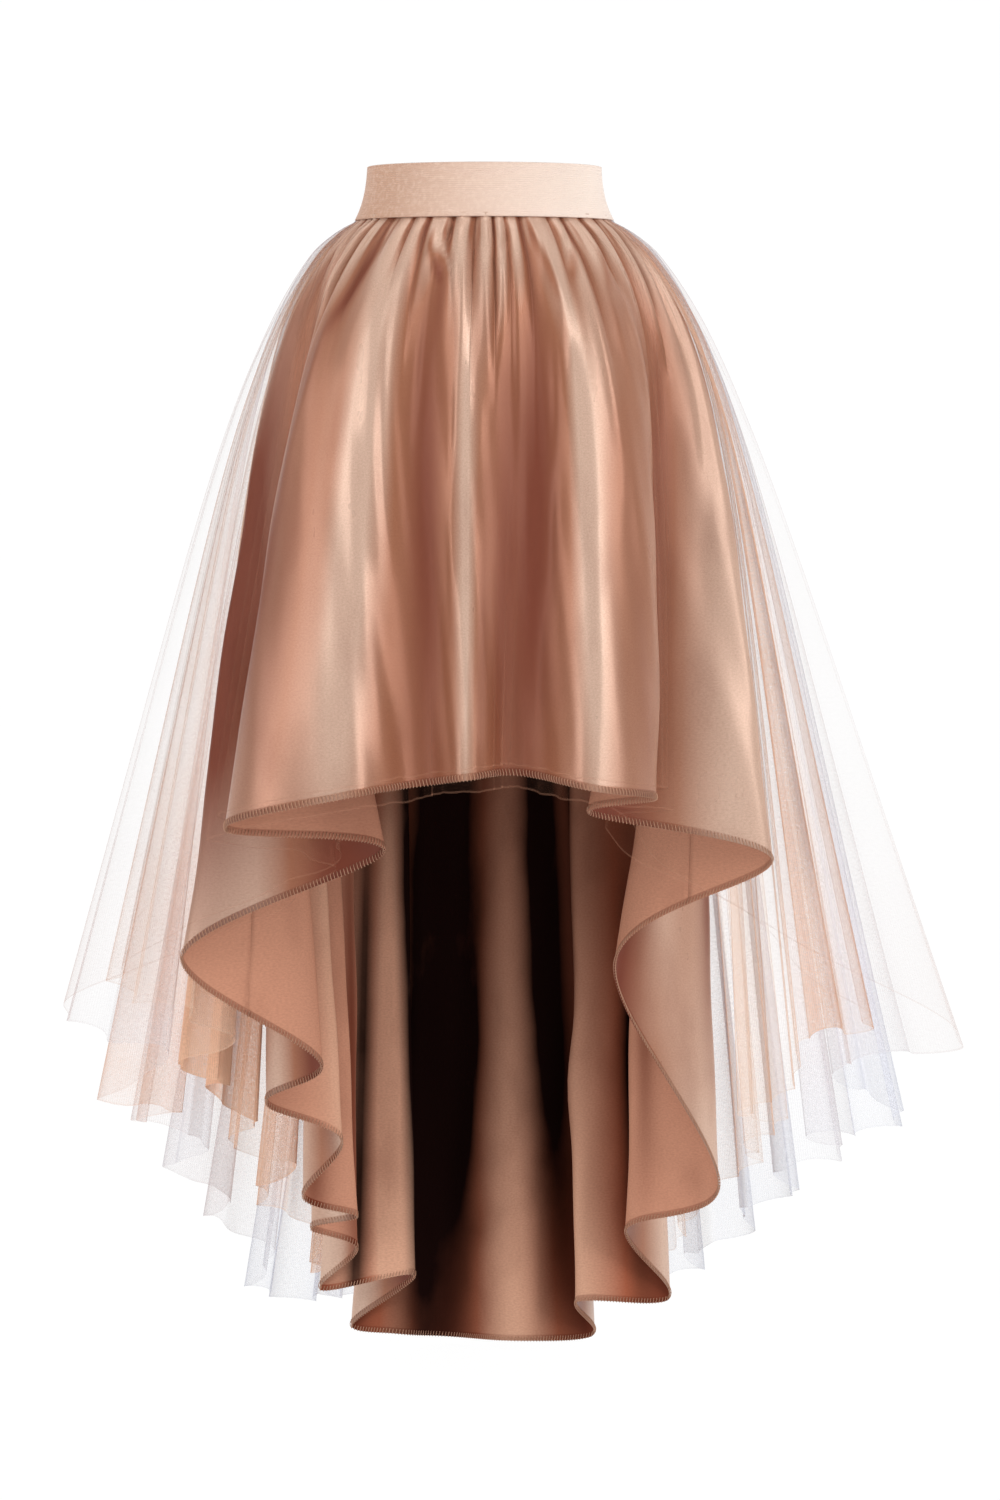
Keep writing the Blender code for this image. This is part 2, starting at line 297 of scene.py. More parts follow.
def lined(lines, turn, depth):
    """The size of the lines at a place, strongest half way along each."""
    total = np.zeros_like(turn + depth)
    for line in lines:
        run = line.end_depth - line.depth
        along = (depth - line.depth) / run
        inside = np.clip(along, 0.0, 1.0)
        middle = line.turn + (line.end_turn - line.turn) * inside
        across = ((turn - middle + 180.0) % 360.0 - 180.0) / line.width
        beyond = (along - inside) * run / 0.05
        fade = np.exp(-(beyond**2)) * (0.35 + 0.65 * np.sin(math.pi * inside))
        total += line.size * np.exp(-(across**2)) * fade
    return total


def satin_folded(turn, depth):
    """The satin with its main folds."""
    return folded(SATIN, SATIN_FOLDS, turn, depth)


def satin_place(turn, depth):
    """The satin with its folds, creases and slight unevenness."""
    slow = uneven(turn, (9, 30, 1.2), (21, 170, 0.7)) * np.sin(depth * 21.0 + turn * 0.21)
    pucker = uneven(turn, (33, 80, 0.5), (47, 10, 0.35)) * np.sin(depth * 40.0 + turn * 0.4)
    fine = (slow + pucker) * MM * ease(depth / 0.08)
    return moved_out(satin_folded, turn, depth, fine + lined(SATIN_CREASES, turn, depth) * MM)


def satin_length(turn):
    """From the seam to the satin's hem."""
    return hem_place(SATIN_FOLDS, turn)[1] - SEAM_DROP


def hung_cloth(place, turn, depth, tuck):
    """Points of a layer, its top tucked up and in behind the waistband."""
    pulled = tuck * (1.0 - ease((depth + TUCK_HEIGHT) / TUCK_REACH))
    below = np.maximum(depth, 0.0)
    plan = place(turn, below) + gather(turn, below)
    plan = plan * (1.0 - pulled / np.abs(plan))
    height = np.broadcast_to(-SEAM_DROP - depth, plan.shape)
    return np.stack((plan.real, plan.imag, height), axis=-1)


def row_depths(length, rows):
    """Rows from the tucked edge to the hem, closer together near the waist."""
    share = np.linspace(0.0, 1.0, rows) ** 1.35
    return -TUCK_HEIGHT + share[None, :] * (length[:, None] + TUCK_HEIGHT)


def standing_out(place, turn, depth, reach):
    """How far a layer stands out here from the mean of what is beside it."""
    beside = [place(turn + reach * step / 6.0, depth) for step in range(-6, 7)]
    here = place(turn, depth)
    return ((here - sum(beside) / len(beside)) * np.conj(here) / np.abs(here)).real


def add_sheet(name, points, columns_across, depth_down, masks):
    """A sheet from a grid of points, with flat sizes in metres as its UV."""
    columns, rows = points.shape[:2]
    index = np.arange(columns * rows).reshape(columns, rows)
    corners = (index[:-1, :-1], index[1:, :-1], index[1:, 1:], index[:-1, 1:])
    quads = np.stack(corners, axis=-1).reshape(-1, 4)
    mesh = bpy.data.meshes.new(name)
    mesh.from_pydata(points.reshape(-1, 3).tolist(), [], quads.tolist())
    mesh.shade_smooth()
    flat = np.stack((columns_across, depth_down), axis=-1).reshape(-1, 2)
    layer = mesh.uv_layers.new(name="flat")
    layer.data.foreach_set("uv", flat[quads.reshape(-1)].astype(np.float32).reshape(-1))
    for mask, values in masks.items():
        held = mesh.attributes.new(mask, "FLOAT", "POINT")
        held.data.foreach_set("value", values.reshape(-1).astype(np.float32))
    piece = bpy.data.objects.new(name, mesh)
    bpy.context.scene.collection.objects.link(piece)
    return piece


def along_rows(points):
    """The distance round, measured along the middle row, for every point."""
    middle = points[:, points.shape[1] // 2]
    steps = np.linalg.norm(np.diff(middle, axis=0), axis=-1)
    return np.broadcast_to(np.concatenate(([0.0], np.cumsum(steps)))[:, None], points.shape[:2])


class Value:
    """A shader value that takes part in Python expressions."""

    def __init__(self, shades, socket):
        self.shades = shades
        self.socket = socket

    def maths(self, operation, *others):
        sockets = dict(enumerate(others))
        return self.shades.node("Math", {"operation": operation}, sockets).out("Value")

    def __add__(self, other):
        return self.maths("ADD", self, other)

    def __radd__(self, other):
        return self.maths("ADD", other, self)

    def __sub__(self, other):
        return self.maths("SUBTRACT", self, other)

    def __rsub__(self, other):
        return self.maths("SUBTRACT", other, self)

    def __mul__(self, other):
        return self.maths("MULTIPLY", self, other)

    def __rmul__(self, other):
        return self.maths("MULTIPLY", other, self)

    def __truediv__(self, other):
        return self.maths("DIVIDE", self, other)

    def __rtruediv__(self, other):
        return self.maths("DIVIDE", other, self)

    def __pow__(self, other):
        return self.maths("POWER", self, other)

    def __rpow__(self, other):
        return self.maths("POWER", other, self)

    def least(self, other):
        return self.maths("MAXIMUM", self, other)

    def most(self, other):
        return self.maths("MINIMUM", self, other)

    def sine(self):
        return self.maths("SINE", self)


class Node:
    """A shader node whose outputs are Values."""

    def __init__(self, shades, made):
        self.shades = shades
        self.made = made

    def out(self, name):
        return Value(self.shades, self.made.outputs[name])


class Shades:
    """A material's nodes."""

    def __init__(self, name):
        self.material = bpy.data.materials.new(name)
        self.material.use_nodes = True
        self.tree = self.material.node_tree
        self.surface = self.tree.nodes["Principled BSDF"]

    def node(self, kind, settings, sockets):
        """Any node: its settings first, then the values or links of its sockets."""
        made = self.tree.nodes.new("ShaderNode" + kind)
        for name, value in settings.items():
            setattr(made, name, value)
        for key, value in sockets.items():
            self.feed(made.inputs[key], value)
        return Node(self, made)

    def feed(self, socket, value):
        """A value or a link for one socket."""
        if isinstance(value, Value):
            self.tree.links.new(value.socket, socket)
        else:
            socket.default_value = value

    def finish(self, **sockets):
        """The surface's own sockets, their names with spaces as underscores."""
        for name, value in sockets.items():
            self.feed(self.surface.inputs[name.replace("_", " ")], value)
        return self.material

    def mask(self, name):
        """A value kept on the mesh."""
        return self.node("Attribute", {"attribute_name": name}, {}).out("Fac")

    def mixed(self, factor, first, second):
        """One colour blended into another."""
        made = self.node("Mix", {"data_type": "RGBA"}, {0: factor, 6: first, 7: second})
        return Value(self, made.made.outputs[2])

    def noise(self, place, scale, detail=2.0):
        """Noise about 0.5."""
        sockets = {"Vector": place, "Scale": scale, "Detail": detail}
        return self.node("TexNoise", {}, sockets).out("Fac")

    def stretched(self, place, along, down):
        """A place scaled unevenly."""
        sockets = {"Vector": place, "Scale": (along, down, 1.0)}
        return self.node("Mapping", {}, sockets).out("Vector")

    def part_of(self, place, axis):
        """One coordinate of a place."""
        return self.node("SeparateXYZ", {}, {0: place}).out(axis)

    def bump(self, height, distance, strength=1.0):
        """A normal that a height in 0 to 1 bends."""
        sockets = {"Height": height, "Distance": distance, "Strength": strength}
        return self.node("Bump", {}, sockets).out("Normal")


SATIN_WARP = 0.00055
SATIN_WEFT = 0.00120
SATIN_GRAIN = 620.0
SATIN_FLOATS = 900.0
# The near-black colour of the painted shadow inside the back
SATIN_PAINTED_SHADOW_COLOUR = (0.008, 0.002, 0.0015, 1.0)


def satin_material(name, crest, middle, valley, roughness, weave_height, inside):
    """Satin: its floats shine, with painted highlights on crests, painted shade in valleys and painted
    light and shade in bands.
    """
    shades = Shades(name)
    flat = shades.node("UVMap", {"uv_map": "flat"}, {}).out("UV")
    painted_fold_shading = shades.mask("painted_fold_shading_inside" if inside else "painted_fold_shading")
    painted_light = shades.mask("painted_light")
    mottled = shades.noise(shades.stretched(flat, 30.0, 9.0), 1.0, 4.0)
    # Painted shade in the hollows, towards the valley colour, and painted highlights on the crests,
    # towards the crest colour
    colour = shades.mixed((painted_fold_shading * 2.0 - 1.0).least(0.0).most(1.0), middle, valley)
    colour = shades.mixed((1.0 - painted_fold_shading * 2.0).least(0.0).most(1.0), colour, crest)
    # Painted highlights and painted shade from the painted light bands, the gathers and the hem
    colour = shades.mixed((painted_light * 0.85).least(0.0).most(1.0), colour, crest)
    colour = shades.mixed((painted_light * -0.85).least(0.0).most(1.0), colour, valley)
    colour = shades.mixed((mottled - 0.5) * 0.9, colour, valley)
    colour = shades.mixed((shades.noise(flat, SATIN_GRAIN, 4.0) - 0.35) * 0.55, colour, valley)
    painted_deep_shadow = shades.mask("painted_deep_shadow") * (0.85 + mottled * 0.40)
    if inside:
        # Painted near-black shadow inside the back, deepening upwards
        colour = shades.mixed(painted_deep_shadow.most(1.0), colour, SATIN_PAINTED_SHADOW_COLOUR)
    across = shades.part_of(flat, "X") * (math.tau / SATIN_WARP)
    down = shades.part_of(flat, "Y") * (math.tau / SATIN_WEFT)
    weave = (across + down * 0.5).sine() * 0.25 + shades.noise(flat, SATIN_FLOATS) * 0.5
    dark = ((painted_light * -0.5).least(0.0) + (painted_deep_shadow if inside else 0.0)).most(1.0)
    return shades.finish(
        Base_Color=colour,
        Roughness=(roughness + (mottled - 0.5) * 0.18 + dark * 0.4).least(0.15),
        Normal=shades.bump(weave, weave_height),
        Specular_IOR_Level=0.04 if inside else 0.35,
        Metallic=0.0 if inside else 0.22,
    )


SATIN_RIGHT_SIDE = satin_material(
    "satin",
    crest=(0.68, 0.47, 0.36, 1.0),
    middle=(0.36, 0.145, 0.078, 1.0),
    valley=(0.170, 0.034, 0.014, 1.0),
    roughness=0.30,
    weave_height=0.00005,
    inside=False,
)
SATIN_WRONG_SIDE = satin_material(
    "satin_wrong",
    crest=(0.72, 0.40, 0.27, 1.0),
    middle=(0.44, 0.128, 0.066, 1.0),
    valley=(0.160, 0.036, 0.018, 1.0),
    roughness=0.50,
    weave_height=0.00008,
    inside=True,
)

Panel = namedtuple("Panel", "name first_turn last_turn columns rows")
SATIN_PANELS = (
    Panel("satin_front", -90.0, 90.0, 400, 70),
    Panel("satin_back", 90.0, 270.0, 470, 82),
)
OVERLOCKED = 0.0060

# What the satin's painted light and shade follow: how far a fold stands out from the cloth ten
# degrees to either side, the back's middle as seen through the front, the front, the painted shade that
# deepens up inside, the painted light and shade on the gathers' ridges and small pinches, and the
# lighter top
HOLLOW_REACH = 10.0
HOLLOW_DEPTH = 0.022
INSIDE_MIDDLE = 184.0
INSIDE_HALF = 48.0
INSIDE_EDGE = 18.0
FRONT_HALF = 70.0
FRONT_EDGE = 30.0
SHADE_LOW = 1.08
SHADE_RISE = 0.60
RIDGES_SEEN = 0.070
PINCHES = 97.0
PINCH_DEPTH = 0.010
PINCH_LENGTH = 0.016
PALE_TOP = 0.090


def gather_painted_light(turn, depth, fresh):
    """Painted highlights on the ridges and painted shade in the valleys under the band, a row of small
    pinches painted light and dark, and lighter towards the top.
    """
    warped = turn * PINCHES + uneven(turn, (7, 10, 130), (19, 80, 70))
    pinched = np.sin(np.radians(warped)) * np.exp(-(((depth - PINCH_DEPTH) / PINCH_LENGTH) ** 2))
    pale = np.exp(-np.maximum(depth, 0.0) / PALE_TOP)
    return gather_ridge(turn) * fresh * 1.7 + pinched * 0.8 + 0.45 * pale


def satin_masks(turn, depth, at_hem):
    """Where the satin gets painted shade in hollows, painted highlights on crests, painted sheen in
    bands and painted near-black shadow inside.
    """
    below = np.maximum(depth, 0.0)
    crest = standing_out(satin_folded, turn, below, HOLLOW_REACH) / HOLLOW_DEPTH
    central = ease((INSIDE_HALF - np.abs(turn - INSIDE_MIDDLE)) / INSIDE_EDGE)
    front = ease((FRONT_HALF - np.abs(turn)) / FRONT_EDGE)
    up_inside = ease((SHADE_LOW - depth) / SHADE_RISE)
    fresh = gather_fresh(turn, depth) * np.exp(-below / RIDGES_SEEN)
    painted_sheen_bands = lined(SATIN_PAINTED_SHEEN, turn, depth) * (1.0 - 0.5 * fresh)
    shaded = 0.10 + 0.35 * up_inside + lined(SATIN_SHADOWS, turn, depth)
    # painted_fold_shading paints shade in hollows and highlights on crests; painted_light paints sheen
    # and shade in bands and on the gathers, and is darker along the overlocked hem; painted_deep_shadow
    # paints near-black shadow deepening up inside the back
    return {
        "painted_fold_shading": np.clip(0.5 - 0.5 * crest * (1.0 - 0.6 * front), 0.0, 1.0),
        "painted_fold_shading_inside": np.clip(0.20 + (0.30 + 0.35 * crest) * central, 0.0, 1.0),
        "painted_light": painted_sheen_bands + gather_painted_light(turn, depth, fresh) - 0.45 * at_hem,
        "painted_deep_shadow": central * np.clip(shaded, 0.0, 1.0),
    }


for panel in SATIN_PANELS:
    turns = np.linspace(panel.first_turn, panel.last_turn, panel.columns)
    length = satin_length(turns)[:, None]
    depths = row_depths(length[:, 0], panel.rows - 2)
    hem_rows = length - OVERLOCKED * np.array((1.15, 1.0, 0.0))
    depths = np.concatenate((depths[:, :-1], hem_rows), axis=1)
    at_hem = (depths > length - OVERLOCKED * 1.05).astype(float)
    points = hung_cloth(satin_place, turns[:, None], depths, SATIN_TUCK)
    masks = satin_masks(turns[:, None], depths, at_hem)
    cloth = add_sheet(panel.name + "_cloth", points, along_rows(points), -depths, masks)
    cloth.data.materials.append(SATIN_RIGHT_SIDE)
    cloth.data.materials.append(SATIN_WRONG_SIDE)
    wall = cloth.modifiers.new("thickness", "SOLIDIFY")
    wall.thickness = SATIN_THICK
    wall.offset = -1.0
    wall.material_offset = 1
    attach(cloth, "root")
    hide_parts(panel.name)

# The overlocking: polyester thread looped over the satin's raw hem, three loops
# to the centimetre, so that the edge shows as a row of slanting stitches
STITCH_PITCH = 0.0034
STITCH_HIGH = 0.0062
STITCH_DEEP = 0.0022
STITCH_SLANT = 0.0016
THREAD_RADIUS = 0.00042
THREAD_PLIES = 2600.0
THREAD_DYE_LOTS = 55.0
THREAD_RELIEF = 0.00012
THREAD_DARKER = (0.38, 0.185, 0.112, 1.0)
THREAD_PALER = (0.54, 0.30, 0.19, 1.0)
# Painted shade between the plies of the thread
THREAD_PAINTED_SHADE_BETWEEN_PLIES = (0.22, 0.085, 0.045, 1.0)

thread = Shades("thread")
spun = thread.node("TexCoord", {}, {}).out("Object")
plies = thread.noise(spun, THREAD_PLIES, 3.0)
dyed = thread.mixed(thread.noise(spun, THREAD_DYE_LOTS), THREAD_DARKER, THREAD_PALER)
# The thread is darkened between its plies: painted shade
THREAD = thread.finish(
    Base_Color=thread.mixed((plies - 0.35) * 0.6, dyed, THREAD_PAINTED_SHADE_BETWEEN_PLIES),
    Roughness=0.50 + plies * 0.20,
    Normal=thread.bump(plies, THREAD_RELIEF),
)


class Tree:
    """A Geometry Nodes tree made step by step, with named inputs."""

    def __init__(self, name, inputs):
        self.tree = bpy.data.node_groups.new(name, "GeometryNodeTree")
        ends = self.tree.interface
        ends.new_socket("Geometry", in_out="INPUT", socket_type="NodeSocketGeometry")
        for label, kind in inputs.items():
            ends.new_socket(label, in_out="INPUT", socket_type=kind)
        ends.new_socket("Geometry", in_out="OUTPUT", socket_type="NodeSocketGeometry")
        self.start = self.tree.nodes.new("NodeGroupInput")
        self.end = self.tree.nodes.new("NodeGroupOutput")

    def node(self, kind, settings, sockets):
        """Any node; a socket takes a value or another node's output."""
        made = self.tree.nodes.new(kind)
        for name, value in settings.items():
            setattr(made, name, value)
        for key, value in sockets.items():
            if isinstance(value, bpy.types.NodeSocket):
                self.tree.links.new(value, made.inputs[key])
            else:
                made.inputs[key].default_value = value
        return made.outputs

    def applied(self, piece, values):
        """A plain mesh object made by the tree from another object's mesh."""
        grown = piece.modifiers.new("nodes", "NODES")
        grown.node_group = self.tree
        for item in self.tree.interface.items_tree:
            if item.item_type == "SOCKET" and item.in_out == "INPUT" and item.name in values:
                grown[item.identifier] = values[item.name]
        seen = piece.evaluated_get(bpy.context.evaluated_depsgraph_get())
        mesh = bpy.data.meshes.new_from_object(seen)
        piece.modifiers.remove(grown)
        name = piece.name
        bpy.data.objects.remove(piece)
        made = bpy.data.objects.new(name, mesh)
        mesh.name = name
        bpy.context.scene.collection.objects.link(made)
        return made


def add_path(name, paths, closed):
    """Lines of points as edges, for a tree to follow."""
    points = []
    edges = []
    for path in paths:
        first = len(points)
        points += [tuple(point) for point in path]
        edges += [(k, k + 1) for k in range(first, len(points) - 1)]
        if closed:
            edges.append((len(points) - 1, first))
    mesh = bpy.data.meshes.new(name)
    mesh.from_pydata(points, edges, [])
    piece = bpy.data.objects.new(name, mesh)
    bpy.context.scene.collection.objects.link(piece)
    return piece


overlock = Tree(
    "overlock",
    {
        "Pitch": "NodeSocketFloat",
        "Thread": "NodeSocketFloat",
        "Loop": "NodeSocketVector",
        "Slant": "NodeSocketFloat",
        "Material": "NodeSocketMaterial",
    },
)
entry = overlock.start.outputs
line = overlock.node("GeometryNodeMeshToCurve", {}, {"Mesh": entry["Geometry"]})["Curve"]
line = overlock.node("GeometryNodeMeshToCurve", {}, {"Mesh": entry["Geometry"]})
spaced = overlock.node(
    "GeometryNodeResampleCurve", {"mode": "LENGTH"}, {"Curve": line["Curve"], "Length": entry["Pitch"]}
)
ring = overlock.node("GeometryNodeCurvePrimitiveCircle", {}, {"Resolution": 8, "Radius": 1.0})
upright = overlock.node(
    "GeometryNodeTransform", {}, {"Geometry": ring["Curve"], "Rotation": (0.0, math.pi / 2, 0.0)}
)
sized = overlock.node(
    "GeometryNodeTransform", {}, {"Geometry": upright["Geometry"], "Scale": entry["Loop"]}
)
place = overlock.node("GeometryNodeInputPosition", {}, {})
parts = overlock.node("ShaderNodeSeparateXYZ", {}, {"Vector": place["Position"]})
leaning = overlock.node("ShaderNodeMath", {"operation": "MULTIPLY"}, {0: parts["Z"], 1: entry["Slant"]})
shift = overlock.node("ShaderNodeCombineXYZ", {}, {"X": leaning["Value"]})
slanted = overlock.node(
    "GeometryNodeSetPosition", {}, {"Geometry": sized["Geometry"], "Offset": shift["Vector"]}
)
section = overlock.node(
    "GeometryNodeCurvePrimitiveCircle", {}, {"Resolution": 4, "Radius": entry["Thread"]}
)
loop = overlock.node(
    "GeometryNodeCurveToMesh", {}, {"Curve": slanted["Geometry"], "Profile Curve": section["Curve"]}
)
tangent = overlock.node("GeometryNodeInputTangent", {}, {})
facing = overlock.node(
    "FunctionNodeAlignRotationToVector",
    {"axis": "X", "pivot_axis": "Z"},
    {"Vector": tangent["Tangent"]},
)
placed = overlock.node(
    "GeometryNodeInstanceOnPoints",
    {},
    {"Points": spaced["Curve"], "Instance": loop["Mesh"], "Rotation": facing["Rotation"]},
)
real = overlock.node("GeometryNodeRealizeInstances", {}, {"Geometry": placed["Instances"]})
coloured = overlock.node(
    "GeometryNodeSetMaterial", {}, {"Geometry": real["Geometry"], "Material": entry["Material"]}
)
overlock.tree.links.new(coloured["Geometry"], overlock.end.inputs["Geometry"])

for panel in SATIN_PANELS:
    turns = np.linspace(panel.first_turn, panel.last_turn, 900)
    depths = satin_length(turns)[:, None] - STITCH_HIGH * 0.40
    edge = hung_cloth(satin_place, turns[:, None], depths, 0.0)[:, 0]
    path = add_path(panel.name + "_overlock", [edge], False)
    stitches = overlock.applied(
        path,
        {
            "Pitch": STITCH_PITCH,
            "Thread": THREAD_RADIUS,
            "Loop": (1.0, STITCH_DEEP / 2, STITCH_HIGH / 2),
            "Slant": STITCH_SLANT / STITCH_HIGH,
            "Material": THREAD,
        },
    )
    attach(stitches, "root")

# The outer tulle: two gathered panels of soft white net over everything else,
# raw at the hem. In front it lies on the satin; it stands out at the sides.
OUTER_TULLE = Layer(0.0040, 0.0120, Sides(0.070, 0.074, 0.060, 0.060), Sides(0.20, 0.22, 0.06, 0.22))
OUTER_FOLDS = (
    Fold(0, 10, -250, 560),
    Fold(13, -140, -230, 580),
    Fold(25, -248, -146, 622),
    Fold(31, -156, -80, 664),
    Fold(37, -395, -20, 787),
    Fold(42, -300, 42, 850),
    Fold(45, -368, 72, 886),
    Fold(48, -304, 106, 905),
    Fold(51, -344, 138, 922),
    Fold(54, -276, 172, 950),
    Fold(58, -318, 220, 985),
    Fold(61, -250, 248, 1015),
    Fold(64, -282, 295, 1050),
    Fold(67, -218, 318, 1085),
    Fold(70, -240, 368, 1135),
    Fold(73, -168, 376, 1145),
    Fold(76, -158, 430, 1155),
    Fold(80, -82, 404, 1158),
    Fold(83, -20, 448, 1160),
    Fold(86, 50, 402, 1158),
    Fold(89, 112, 432, 1150),
    Fold(92, 146, 376, 1135),
    Fold(95, 214, 375, 1115),
    Fold(98, 214, 320, 1085),
    Fold(101, 274, 302, 1058),
    Fold(103, 250, 250, 1035),
    Fold(106, 312, 226, 1005),
    Fold(108, 284, 180, 980),
    Fold(111, 352, 148, 955),
    Fold(114, 326, 112, 935),
    Fold(117, 398, 80, 915),
    Fold(123, 340, 36, 850),
    Fold(128, 447, -12, 811),
    Fold(133, 140, -92, 640),
    Fold(139, 172, -160, 596),
    Fold(150, 90, -235, 570),
)
OVER_SATIN = 0.0125
OVER_SATIN_SEAM = 0.0040
FRONT_LONGER = 0.010
FRONT_ENDS = 54.0
SIDE_STARTS = 72.0
OUTER_TUCK = 0.0062

# Soft folds smaller than those above: how many round the waist, how far they
# stand out at the seam, at the hem in front and at the sides, and how far they roll
RIPPLES = 74
RIPPLE_AT_SEAM = 0.0008
RIPPLE_FRONT = 0.0016
RIPPLE_SIDES = 0.0075
RIPPLE_SWAY = 0.65

# The turns between which the net stops being seen against the satin, and how
# much sooner that is on the right
NET_WARM = 78.0
NET_CLEAR = 90.0
NET_UNEVEN = 8.0


def side_share(turn):
    """0 at the front, 1 from the sides round to the back."""
    from_front = np.abs((turn + 180.0) % 360.0 - 180.0)
    return ease((from_front - FRONT_ENDS) / (SIDE_STARTS - FRONT_ENDS))


def outer_folded(turn, depth):
    """The outer tulle: over the satin in front, in its own folds elsewhere."""
    own = folded(OUTER_TULLE, OUTER_FOLDS, turn, depth)
    distance = OVER_SATIN_SEAM + (OVER_SATIN - OVER_SATIN_SEAM) * ease(depth / LIFT_DEPTH)
    over = moved_out(satin_folded, turn, depth, distance)
    return over + (own - over) * side_share(turn)


def outer_length(turn):
    """From the seam to the outer tulle's hem, without its ripples."""
    own = hem_place(OUTER_FOLDS, turn)[1] - SEAM_DROP
    over = satin_length(turn) + FRONT_LONGER
    return over + (own - over) * side_share(turn)


def rippled(surface, turn, depth, length, phase):
    """Small soft folds, rolled over on themselves near the waist and opening below."""
    slow = uneven(turn, (4, 50, 110), (9, 10, 80), (19, 120, 45))
    warped = np.radians(turn * RIPPLES + phase + slow)
    share = np.clip(depth / length, 0.0, 1.0)
    size = 1.0 + uneven(turn, (7, 30 + phase, 0.35), (15, 190, 0.35))
    side = side_share(turn)
    height = (RIPPLE_FRONT + (RIPPLE_SIDES - RIPPLE_FRONT) * side) * size
    height = height * share**1.1 + RIPPLE_AT_SEAM * ease(depth / 0.02)
    sway = RIPPLE_SWAY * 360.0 / (math.tau * RIPPLES) * ease(depth / 0.03) * (0.3 + 0.7 * side)
    swayed = turn + sway * np.sin(warped) * size
    return moved_out(surface, swayed, depth, height * np.cos(warped))


def outer_place(turn, depth):
    """The outer tulle with its ripples."""
    return rippled(outer_folded, turn, depth, outer_length(turn), 0.0)


def hem_waver(turn, length, phase):
    """A raw hem's unevenness."""
    quick = uneven(turn, (RIPPLES, phase, 2.2), (61, phase, 1.2))
    waver = quick + uneven(turn, (29, 60 + phase, 2.4), (13, 160 + phase, 2.0))
    return length + waver * MM * (0.15 + 0.85 * side_share(turn))


def beside_satin(turn):
    """1 where the net is seen against the satin, 0 where it stands clear of it."""
    signed = (turn + 180.0) % 360.0 - 180.0
    from_front = np.where(signed < 0.0, NET_UNEVEN - signed, signed)
    return 1.0 - ease((from_front - NET_WARM) / (NET_CLEAR - NET_WARM))


NET_ACROSS = 0.0021
NET_DOWN = 0.0024
NET_RELIEF = 0.00015
NET_CLOUDS = 14.0
NET_GRAIN = 420.0
# Copper painted on the net where it is seen against the satin: painted light bounced from the satin
NET_PAINTED_SATIN_BOUNCE = (0.50, 0.24, 0.15, 1.0)
NET_BLUSHED = (0.76, 0.47, 0.32, 1.0)


def tulle_material(name, thin, dense, cover):
    """Net: what it hides grows with the slant at which it is seen."""
    shades = Shades(name)
    flat = shades.node("UVMap", {"uv_map": "flat"}, {}).out("UV")
    streaks = shades.noise(shades.stretched(flat, 70.0, 1.6), 1.0, 3.0)
    clouds = shades.noise(flat, NET_CLOUDS)
    grain = shades.noise(flat, NET_GRAIN, 3.0) - 0.5
    across = shades.part_of(flat, "X") * (math.tau / NET_ACROSS)
    down = shades.part_of(flat, "Y") * (math.tau / NET_DOWN)
    net = (across + down).sine() * (across - down).sine()
    patchy = 0.75 + streaks * 0.35 + (clouds - 0.5) * 0.4 + net * 0.30 + grain
    density = shades.mask("closeness") * patchy
    facing = shades.node("LayerWeight", {}, {"Blend": 0.5}).out("Facing")
    slant = 1.0 / (1.0 - facing).least(0.24)
    hidden = 1.0 - (1.0 - (density * cover).most(0.9)) ** slant
    colour = shades.mixed((hidden * 1.5).most(1.0), thin, dense)
    colour = shades.mixed(shades.mask("blushed") * (0.7 + clouds * 0.5), colour, NET_BLUSHED)
    return shades.finish(
        # Painted light: the net takes a copper tint where it is seen against the satin
        Base_Color=shades.mixed(shades.mask("on_satin"), colour, NET_PAINTED_SATIN_BOUNCE),
        Roughness=0.80 + (clouds - 0.5) * 0.2,
        Alpha=(hidden + shades.mask("hem_line") * 0.12).most(0.95),
        Normal=shades.bump(net * 0.5 + 0.5, NET_RELIEF),
        Specular_IOR_Level=0.2,
    )


# The white net's colours are greyed below white: painted shade, so that it shows against the glowing
# ground
WHITE_TULLE = tulle_material(
    "white_tulle", thin=(0.72, 0.73, 0.79, 1.0), dense=(0.65, 0.66, 0.72, 1.0), cover=0.170
)

TULLE_COLUMNS = 520
TULLE_ROWS = 76
HEM_LINE = 0.0018
SEAM_LINE = 0.0016

# Where two layers of net lie together, the outer one takes the inner one's blush
BLUSHES = (
    Line(98, 0.20, 108, 1.00, 12.0, 1.05),
    Line(138, 0.70, 140, 1.12, 10.0, 0.35),
    Line(279, 0.15, 277, 0.90, 2.2, 0.60),
    Line(255, 0.40, 252, 0.95, 4.0, 0.30),
)


def tulle_panel(name, first_turn, last_turn, place, length_at, tuck, density_at):
    """One panel of net as a single surface."""
    turns = np.linspace(first_turn, last_turn, TULLE_COLUMNS)
    length = length_at(turns)
    depths = row_depths(length, TULLE_ROWS - 2)
    hem_rows = length[:, None] - HEM_LINE * np.array((1.0, 0.9, 0.0))
    depths = np.concatenate((depths[:, :-1], hem_rows), axis=1)
    points = hung_cloth(place, turns[:, None], depths, tuck)
    on_satin = beside_satin(turns[:, None])
    round_it = along_rows(points)
    to_side = np.minimum(round_it, round_it[-1:] - round_it)
    near_hem = (depths > length[:, None] - HEM_LINE * 0.95).astype(float)
    near_side = (to_side < SEAM_LINE).astype(float)
    masks = {
        "closeness": density_at(turns[:, None], depths) * (1.0 - 0.90 * on_satin),
        "on_satin": np.broadcast_to(on_satin, depths.shape),
        "blushed": np.clip(lined(BLUSHES, turns[:, None], depths), 0.0, 0.9),
        "hem_line": np.maximum(near_hem, near_side * 0.6),
    }
    return add_sheet(name, points, round_it, -depths, masks)


CLOSE_UNDER_WAIST = 0.10
CLOSER_FROM = 0.45
CLOSER_OVER = 0.40


